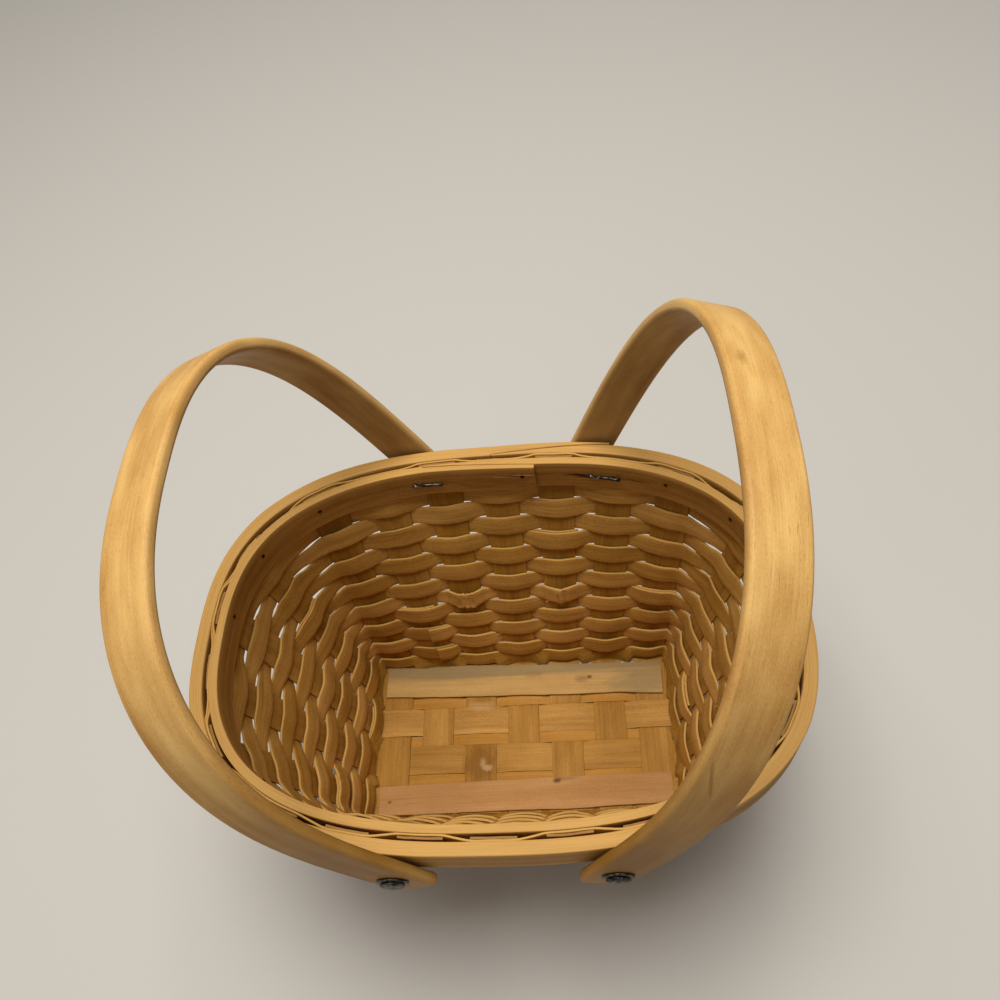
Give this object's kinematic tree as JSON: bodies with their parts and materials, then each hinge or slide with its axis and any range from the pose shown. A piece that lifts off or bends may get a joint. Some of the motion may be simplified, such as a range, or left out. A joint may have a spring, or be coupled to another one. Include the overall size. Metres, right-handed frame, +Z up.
{
  "type": "splint-woven market basket",
  "caption": "Wooden market basket woven from flat splints, with a rectangular floor, an oval rim between two bent hoops and a pair of swing handles on nails.",
  "frame": {"origin": "on the surface that the basket stands on, under the middle of its rim", "axes": "+Z up, +X along the basket's length to the right as seen from the front, +Y towards its lapped back side"},
  "size_m": [0.2908, 0.2282, 0.3137],
  "materials": {
    "splint_wood": "matte, unvarnished splint",
    "weaver_wood": "matte, unvarnished splint",
    "board_wood": "matte, sawn",
    "hoop_wood": "satin, lightly varnished",
    "handle_wood": "satin, varnished",
    "dark_metal": "dull, oxidised"
  },
  "bodies": {
    "basket": {"cross_splint_1": "splint_wood", "cross_splint_2": "splint_wood", "cross_splint_3": "splint_wood", "cross_splint_4": "splint_wood", "cross_splint_5": "splint_wood", "cross_splint_6": "splint_wood", "cross_splint_7": "splint_wood", "long_splint_1": "splint_wood", "long_splint_2": "splint_wood", "long_splint_3": "splint_wood", "long_splint_4": "splint_wood", "floor_filler_1": "board_wood", "floor_filler_2": "board_wood", "floor_filler_3": "board_wood", "back_floor_board": "board_wood", "front_floor_board": "board_wood", "weaver_row_1": "weaver_wood", "weaver_row_2": "weaver_wood", "weaver_row_3": "weaver_wood", "weaver_row_4": "weaver_wood", "weaver_row_5": "weaver_wood", "weaver_row_6": "weaver_wood", "weaver_row_7": "weaver_wood", "weaver_row_8": "weaver_wood", "weaver_row_9": "weaver_wood", "weaver_row_10": "weaver_wood", "weaver_row_11": "weaver_wood", "weaver_row_12": "weaver_wood", "weaver_row_13": "weaver_wood", "weaver_row_14": "weaver_wood", "rim_weaver_1": "weaver_wood", "rim_weaver_2": "weaver_wood", "inner_rim_hoop": "hoop_wood", "outer_rim_hoop": "hoop_wood", "rim_tack_1": "dark_metal", "rim_tack_2": "dark_metal", "rim_tack_3": "dark_metal", "rim_tack_4": "dark_metal", "rim_tack_5": "dark_metal", "rim_tack_6": "dark_metal", "rim_tack_7": "dark_metal", "rim_tack_8": "dark_metal", "rim_tack_9": "dark_metal", "rim_tack_10": "dark_metal", "front_left_nail": "dark_metal", "front_left_washer": "dark_metal", "back_left_nail": "dark_metal", "back_left_washer": "dark_metal", "front_right_nail": "dark_metal", "front_right_washer": "dark_metal", "back_right_nail": "dark_metal", "back_right_washer": "dark_metal"},
    "left_handle": {"left_handle": "handle_wood"},
    "right_handle": {"right_handle": "handle_wood"}
  },
  "joints": [
    {"name": "left_handle_swing", "type": "hinge", "parent": "basket", "child": "left_handle", "pos_m": [-0.0441, 0, 0.1535], "axis": [0, 1, 0], "range_deg": [-126.3, 35.7]},
    {"name": "right_handle_swing", "type": "hinge", "parent": "basket", "child": "right_handle", "pos_m": [0.0501, 0, 0.1535], "axis": [0, 1, 0], "range_deg": [-31.9, 130.1]}
  ]
}
